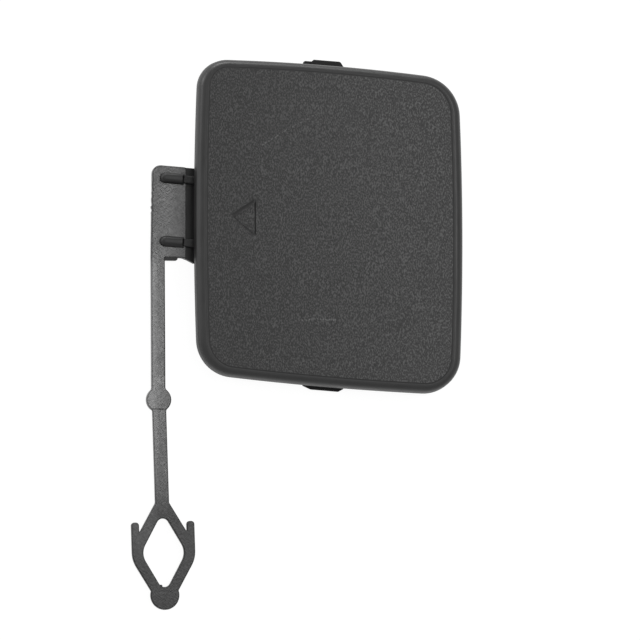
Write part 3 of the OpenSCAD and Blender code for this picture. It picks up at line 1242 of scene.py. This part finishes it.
        # The groove's cut faces and the joined root, gate and ribs take the finish painted in a deeper
        # black as shade.
        groove = Shaper.block("groove_tool", (self.plate_x, self.bottom - FAR, lv.root_top),
                              (self.root_x + 1, self.top + FAR, lv.plate + 1))
        solid.work(self._dress_painted_shade(groove), Boolean.CUT)
        for part in (self._root(), self._gate(), *(self._rib(y) for y in self.rib_rows)):
            solid.work(self._dress_painted_shade(part), Boolean.JOIN)
        return solid.finish()


@dataclass
class BackRibs:
    """The stiffening ribs behind the face: one between the clips and one behind each rib of the tongue."""

    shell: CoverShell
    tongue: Tongue
    thickness: float = 1.2
    drop: float = 2.0
    seat: float = 0.3
    edge_r: float = 0.25

    def _rib(self, name: str, start: Point, end: Point) -> Shaper:
        """One rib.

        Args:
            name: name of the object.
            start: its lowest corner seen from above.
            end: its highest corner.

        Returns:
            The solid.
        """
        levels = self.shell.levels
        low = levels.back - self.drop
        rib = Shaper.block(name, (*start, low), (*end, levels.back + levels.crown + self.seat))
        return rib.pick_edges(lambda m, d, t: abs(m.z - low) < CLOSE).bevel(self.edge_r)

    def build(self) -> bpy.types.Object:
        """Makes the ribs.

        Returns:
            The finished piece.
        """
        half_t, x = self.thickness / 2, self.shell.clip_x
        inset = self.shell.lip_w + self.shell.skirt_t / 2
        reach = self.shell.outline.height / 2 - inset
        ribs = self._rib("back_ribs", (x - half_t, -reach), (x + half_t, reach))
        near = self.tongue.reach + inset
        far = near + self.shell.outline.width - 2 * inset
        for y in self.tongue.rib_rows:
            cross = self._rib("cross_tool", (near, -half_t), (far, half_t))
            ribs.work(cross.place(-self.shell.outline.mid_fall, (self.tongue.x, y, 0)), Boolean.JOIN)
        return ribs.pick_all().dress(self.shell.smooth).finish()


@dataclass
class Anchor:
    """The lower strap and the barbed loop that holds it behind the bumper."""

    tongue: Tongue
    finish: bpy.types.Material
    lean: float = 1.95
    offset: float = 0.05
    step: float = 0.14
    root_r: float = 0.7
    loop_start: float = 30.88
    loop_l: float = 22.3
    loop_w: float = 12.5
    arm_angle: float = 30.0
    arm_w: float = 2.95
    barb_span: float = 17.54
    barb_w: float = 2.2
    tip_r: float = 0.9
    barb_l: float = 2.84
    end_r: float = 1.7
    knee_r: float = 4.6
    shoulder_r: float = 8.0
    disc_d: float = 8.0
    disc_drop: float = 0.49
    disc_steps: int = 20
    hole_steps: int = 10
    neck_r: float = 1.2
    notch_r: float = 0.12
    fillet: float = 0.3
    edge_r: float = 0.38
    nib_r: float = 0.35
    nib: tuple[Point, Point] = ((-1.8, -51.8), (-0.6, -50.75))

    @property
    def slope(self) -> float:
        """How far an arm runs sideways for each millimetre along the strap."""
        return math.tan(math.radians(self.arm_angle))

    @property
    def end(self) -> float:
        """Distance from the pad to the lower point of the loop."""
        return self.loop_start + self.loop_l

    def _outer(self) -> list[Point]:
        """Right half of the outer edge, from the pad down to the bottom of the disc.

        Returns:
            The points.
        """
        run = self.arm_w / math.sin(math.radians(self.arm_angle))
        half, width = self.barb_span / 2, self.tongue.strap_w / 2
        shoulder = -(self.end + run) + half / self.slope
        apex = -(self.loop_start - run)
        notch = apex - (half - self.barb_w) / self.slope
        tip, tip_r = notch + self.barb_l, self.tip_r
        centre = (0.0, -self.end - self.disc_drop)
        neck = ((run - self.disc_drop) * self.slope, centre[1])
        edge = rounded([(width, 0, 0), (width, apex - width / self.slope, self.neck_r),
                        (half - self.barb_w, notch, self.notch_r), (half - self.barb_w, tip, tip_r),
                        (half, tip, tip_r), (half, shoulder, self.shoulder_r), (*neck, 0)])[1:-1]
        pad_r = self.tongue.pad_d / 2
        root = into_disc((width, -2 * pad_r), (width, 0), -1, ((0, 0), pad_r), self.root_r)[::-1]
        disc = (centre, self.disc_d / 2)
        lowest = (0.0, centre[1] - self.disc_d / 2)
        blend = into_disc(edge[-1], neck, 1, disc, self.fillet)
        return root + edge + blend + round_disc(blend[-1], lowest, disc, self.disc_steps) + [lowest]

    def _inner(self) -> list[Point]:
        """Right half of the loop's inner edge, from its lower to its upper end.

        Returns:
            The points.
        """
        half = self.loop_w / 2
        middle = -self.loop_start - self.loop_l / 2
        hole = rounded([(0, -self.loop_start, self.end_r), (-half, middle, self.knee_r),
                        (0, -self.end, self.end_r), (half, middle, self.knee_r)], self.hole_steps)
        right = sorted((p for p in hole if p[0] > -CLOSE), key=lambda p: p[1])
        return [(0.0 if abs(x) < CLOSE else x, y) for x, y in right]

    def build(self) -> bpy.types.Object:
        """Makes the anchor as a half and its mirror image, with a moulding nib in the loop.

        Returns:
            The finished piece.
        """
        high = self.tongue.levels.plate - self.step
        low = high - self.tongue.strap_t
        half = Shaper.prism("barbed_anchor", [(0.0, 0.0)] + self._outer() + self._inner(), low, high)
        half.pick_rims(high, low, where=lambda m: m.x > CLOSE).bevel(self.edge_r)
        half.pick_faces(lambda c, n: abs(c.x) < CLOSE and abs(n.x) > FACING)
        bpy.ops.mesh.delete(type="FACE")
        body = half.modify("MIRROR", use_mirror_merge=True, merge_threshold=CLOSE).outward()
        nib = Shaper.block("nib_tool", (*self.nib[0], low + self.step), (*self.nib[1], high - self.step))
        nib.pick_edges(lambda m, d, t: True).bevel(self.nib_r)
        body.work(nib, Boolean.JOIN)
        pad = self.tongue.pad
        body.place(self.lean, (pad[0] + self.offset, pad[1], 0))
        return body.pick_all().dress(self.finish).finish()


@dataclass
class Studio:
    """Floor, lights and camera."""

    target: Sequence[float] = (-2.0, -25.78, 5.0)
    yaw: float = 10.0
    pitch: float = 4.3
    distance: float = 1200.0
    lens: float = 244.0
    sensor: float = 36.0
    clip: Point = (0.01, 20.0)
    floor_size: float = 6.0
    floor_grey: float = 0.8
    floor_light: float = 1.12
    floor_glow: float = 0.84
    around: float = 0.45
    behind: float = 0.6
    lamps: Sequence[tuple[str, Sequence[float], Point, float]] = (
        ("softbox_above", (66, 25, 1000), (130, 210), 1.0),
        ("softbox_right", (470, 190, 1000), (320, 320), 2.0),
        ("window_left", (-1000, 520, 300), (560, 380), 3.36),
        ("window_back", (-150, 1100, 280), (800, 380), 6.4))

    def camera(self) -> None:
        """Puts the camera at the photograph's angle."""
        back = Vector((-math.sin(math.radians(self.yaw)), -math.sin(math.radians(self.pitch)), 0))
        back.z = math.sqrt(1 - back.length_squared)
        right = (-back).cross(Vector((0, 1, 0))).normalized()
        up = right.cross(-back)
        where = (Vector(self.target) + back * self.distance) * MM
        data = bpy.data.cameras.new("camera")
        data.lens, data.sensor_width = self.lens, self.sensor
        data.clip_start, data.clip_end = self.clip
        eye = bpy.data.objects.new("camera", data)
        bpy.context.scene.collection.objects.link(eye)
        eye.matrix_world = Matrix.Translation(where) @ Matrix((right, up, back)).transposed().to_4x4()
        bpy.context.scene.camera = eye

    @staticmethod
    def _seen(g: Graph) -> Wire:
        """1 for rays from the camera and for rays that a glossy or clear surface sends on.

        Args:
            g: the tree that asks.

        Returns:
            The mask's wire.
        """
        kinds = ("Camera", "Glossy", "Transmission")
        rays = [g.add("ShaderNodeLightPath", output=f"Is {kind} Ray") for kind in kinds]
        first = rays[0] + rays[1]
        return g.add("ShaderNodeMath", {"operation": "ADD", "use_clamp": True}, {0: first, 1: rays[2]})

    def floor(self) -> None:
        """Lays the pale floor."""
        g = Graph(bpy.data.materials.new("pale_floor"))
        matte = g.add("ShaderNodeBsdfDiffuse", None, {"Color": (*(self.floor_grey,) * 3, 1)})
        glow = g.add("ShaderNodeEmission", None, {"Color": WHITE, "Strength": self.floor_light})
        both = g.add("ShaderNodeMixShader", None, {0: self._seen(g) * self.floor_glow, 1: matte, 2: glow})
        g.add("ShaderNodeOutputMaterial", None, {"Surface": both})
        Shaper.clear()
        bpy.ops.mesh.primitive_plane_add(size=self.floor_size, location=(0, 0, 0))
        plane = bpy.context.object
        plane.name = "floor"
        plane.data.materials.append(g.owner)

    def world(self) -> None:
        """Surrounds the object with soft light and a pale background."""
        bpy.context.scene.world = bpy.data.worlds.new("studio")
        g = Graph(bpy.context.scene.world)
        around = g.add("ShaderNodeBackground", None, {"Color": WHITE, "Strength": self.around})
        behind = g.add("ShaderNodeBackground", None, {"Color": WHITE, "Strength": self.behind})
        both = g.add("ShaderNodeMixShader", None, {0: self._seen(g), 1: around, 2: behind})
        g.add("ShaderNodeOutputWorld", None, {"Surface": both})

    def lamp(self, name: str, where: Sequence[float], size: Point, power: float) -> None:
        """Hangs one soft lamp that faces the cover.

        Args:
            name: its name.
            where: its place.
            size: its width and height in millimetres.
            power: its power in watts.
        """
        data = bpy.data.lights.new(name, "AREA")
        data.shape = "RECTANGLE"
        data.size, data.size_y = size[0] * MM, size[1] * MM
        data.energy = power
        lamp = bpy.data.objects.new(name, data)
        bpy.context.scene.collection.objects.link(lamp)
        lamp.location = Vector(where) * MM
        lamp.rotation_euler = (-Vector(where)).to_track_quat("-Z", "Y").to_euler()

    def build(self) -> None:
        """Sets up the studio."""
        self.floor()
        self.world()
        for lamp in self.lamps:
            self.lamp(*lamp)
        bpy.context.scene.view_settings.view_transform = "Standard"
        self.camera()


def main() -> None:
    """Builds the cover and its studio."""
    logging.basicConfig(level=logging.INFO, format="%(message)s")
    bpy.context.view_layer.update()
    outline, levels = CoverOutline(), Levels()
    rim = SatinFinish("rim_black", base=0.022, roughness=0.38, relief=0.003).build()
    # A rougher black painted in a deeper tone as shade, for the crease, the steep outer wall and the mark's
    # walls.
    matte = SatinFinish("matte_painted_shade_black", base=0.008, roughness=0.52, relief=0.006).build()
    # A rough black painted in a deeper tone as shade, for the clips under the lip.
    clip_painted_shade = SatinFinish("clip_painted_shade_black", base=0.004, roughness=0.8, relief=0.006).build()
    # The strap and anchor finish carries a painted highlight along the strap's left edge, and painted shade
    # towards the bottom of the anchor.
    strap = SatinFinish("strap_black", base=0.034, roughness=0.26, relief=0.011, speckle=1.4,
                        hatch=1.3, painted_shade_depth=0.74, painted_sheen=2.8, rub=0.07, wear=0.09).build()
    # A rougher black painted in a deeper tone as shade, for the groove, root, gate and ribs of the tongue.
    rib_and_groove_painted_shade = SatinFinish("groove_painted_shade_black", base=0.006, roughness=0.52, relief=0.006).build()
    cover = CoverShell(outline, levels, GrainedFinish().build(), rim, matte)
    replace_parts(cover.build(), NODE)
    Clip("top_clip", End.TOP, cover, clip_painted_shade, 2.66, (
        (1, 0.0, 1.4, 0.3), (1, 1.0, 0.0, 0.8), (-1, 2.85, 0.0, 0.4), (-1, 2.3, 0.55, 0.3),
        (-1, 0.0, 0.55, 0.6))).build()
    Clip("bottom_clip", End.BOTTOM, cover, clip_painted_shade, 1.2, (
        (1, 0.0, 0.9, 0.3), (1, 2.2, 0.0, 1.5), (-1, 1.4, 0.0, 0.9), (-1, 0.0, 0.9, 0.3))).build()
    tongue = Tongue(levels, outline, strap, rib_and_groove_painted_shade)
    tongue.build()
    BackRibs(cover, tongue).build()
    Anchor(tongue, strap).build()
    Studio().build()


if __name__ == "__main__":
    main()
